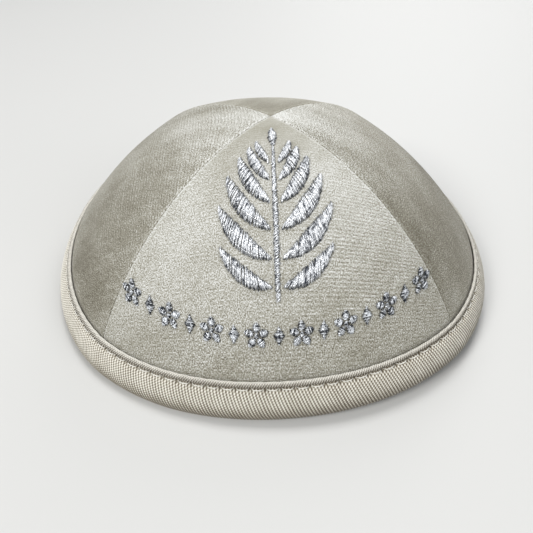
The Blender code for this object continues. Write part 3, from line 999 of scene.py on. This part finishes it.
# border: flowers and diamonds by turns along an arc that rises with the square of the way across
def borderPiece(material):
    plan = borderPlan
    generator = np.random.default_rng(plan["seed"])
    endShare = np.array((plan["drop"] - plan["endRise"]) / domeLength)
    reach = float(planRadius(np.zeros(()), endShare)) * goreHalf - plan["flower"] / 2 - plan["gap"]
    spaces = int(2 * reach / (plan["flower"] + plan["diamond"][0] + 2 * plan["gap"]))
    pitch = 2 * reach / spaces
    petalStart, petalHalf, petalLength = plan["petal"]
    knotHalf, knotLength, knotCount = plan["knot"]

    def place(step):
        across = pitch * (step - spaces / 2)
        return across, plan["drop"] - plan["endRise"] * (across / reach) ** 2

    def petal(centre, turn):
        def outline(share, side):
            distance = plan["flower"] / 2 * (petalStart + (1 - petalStart) * share)
            half = plan["flower"] * petalHalf * np.sin(math.pi * share**0.85) ** 0.6
            across = centre[0] + distance * math.sin(turn) + side * half * math.cos(turn)
            along = centre[1] - distance * math.cos(turn) + side * half * math.sin(turn)
            return across, along
        return outline

    def knot(centre):
        def outline(share, side):
            half = knotHalf * np.sin(math.pi * share) ** 0.5
            return centre[0] + side * half, centre[1] + knotLength * (share - 0.5)
        return outline

    def diamond(centre):
        def outline(share, side):
            half = plan["diamond"][0] / 2 * (1 - np.abs(2 * share - 1))
            return centre[0] + side * half, centre[1] + plan["diamond"][1] * (share - 0.5)
        return outline

    def threadsOver(outline, length, ragged):
        return satinLines(outline, length, 0.0, generator, ragged)

    groups = []
    for number in range(spaces + 1):
        for leaf in range(plan["petals"]):
            outline = petal(place(number), 2 * math.pi * leaf / plan["petals"])
            groups.append(threadsOver(outline, petalLength * plan["flower"], plan["flowerRagged"]))
        across, along, lift = threadsOver(knot(place(number)), knotCount, plan["flowerRagged"])
        groups.append((across, along, lift + plan["knotLift"]))
    for number in range(spaces):
        outline = diamond(place(number + 0.5))
        groups.append(threadsOver(outline, plan["diamond"][1], plan["diamondRagged"]))
    embroideryPiece("borderStitches", "border", plan, groups, generator, material)


sprigPiece(threadMaterial("bright_silver_thread"))
borderPiece(threadMaterial("grey_silver_thread"))
print("embroidery made")


# Floor, lights and camera
studio = {
    "floor": 3.0,
    "floorGloss": {"Base Color": (0.62, 0.62, 0.61, 1.0), "Roughness": 0.6},
    "world": (0.97, 0.99, 1.0),
    "worldStrength": 0.28,
    "lights": [  # name, place, size, power, colour
        ("keyLight", (-0.75, -0.70, 0.90), 0.45, 11.0, (1.0, 0.99, 0.97)),
        ("fillLight", (0.80, -0.60, 0.65), 0.60, 3.2, (0.98, 0.99, 1.0)),
        ("topLight", (0.05, 0.35, 1.05), 0.45, 6.0, (1.0, 1.0, 1.0)),
        ("backLight", (0.35, 0.95, 0.55), 0.60, 3.5, (1.0, 1.0, 1.0)),
    ],
    "lightAim": (0, 0, 0.03),
}


def studioSet():
    half = studio["floor"] / 2
    corners = [(-half, -half, 0), (half, -half, 0), (half, half, 0), (-half, half, 0)]
    mesh = bpy.data.meshes.new("studioFloor")
    mesh.from_pydata(corners, [], [(0, 1, 2, 3)])
    material = newMaterial("studio_floor", studio["floorGloss"])[0]
    finishedPiece("studioFloor", mesh, material)
    for name, place, size, power, colour in studio["lights"]:
        light = bpy.data.lights.new(name, "AREA")
        light.energy = power
        light.size = size
        light.color = colour
        lamp = bpy.data.objects.new(name, light)
        bpy.context.scene.collection.objects.link(lamp)
        across, deep, high = np.subtract(studio["lightAim"], place)
        pitch = math.atan2(high, math.hypot(across, deep))
        lamp.location = place
        lamp.rotation_euler = (math.pi / 2 + pitch, 0, math.atan2(-across, deep))
    world = bpy.data.worlds.new("studioWorld")
    world.use_nodes = True
    background = world.node_tree.nodes["Background"]
    background.inputs["Color"].default_value = (*studio["world"], 1.0)
    background.inputs["Strength"].default_value = studio["worldStrength"]
    bpy.context.scene.world = world
    bpy.context.scene.view_settings.view_transform = "Standard"


photoView = {
    "elevation": 40.94,  # degrees above the level, of the line of sight
    "turn": -1.4425,  # degrees round the object
    "roll": -0.404,
    "distance": 0.2250,  # from the aim point
    "aim": (-0.00174, 0.0, -0.00854),
    "focal": 545.0,  # pixels, in a square frame
    "frame": 533.0,
}


# camera: it stands back from the aim point along the line of sight, then the whole is turned about Z
def photoCamera():
    view = photoView
    elevation, turn = math.radians(view["elevation"]), math.radians(view["turn"])
    data = bpy.data.cameras.new("photoCamera")
    data.sensor_fit = "HORIZONTAL"
    data.sensor_width = 36.0
    data.lens = view["focal"] / view["frame"] * data.sensor_width
    data.clip_start = 0.01
    camera = bpy.data.objects.new("photoCamera", data)
    bpy.context.scene.collection.objects.link(camera)
    back = (0.0, -math.cos(elevation) * view["distance"], math.sin(elevation) * view["distance"])
    x, y, z = (a + b for a, b in zip(view["aim"], back))
    camera.location = (x * math.cos(turn) - y * math.sin(turn), x * math.sin(turn) + y * math.cos(turn), z)
    tilted = mathutils.Euler((math.pi / 2 - elevation, 0, turn)).to_matrix()
    rolled = mathutils.Matrix.Rotation(math.radians(view["roll"]), 3, "Z")
    camera.rotation_euler = (tilted @ rolled).to_euler()
    bpy.context.scene.camera = camera


studioSet()
photoCamera()
print("studio set")
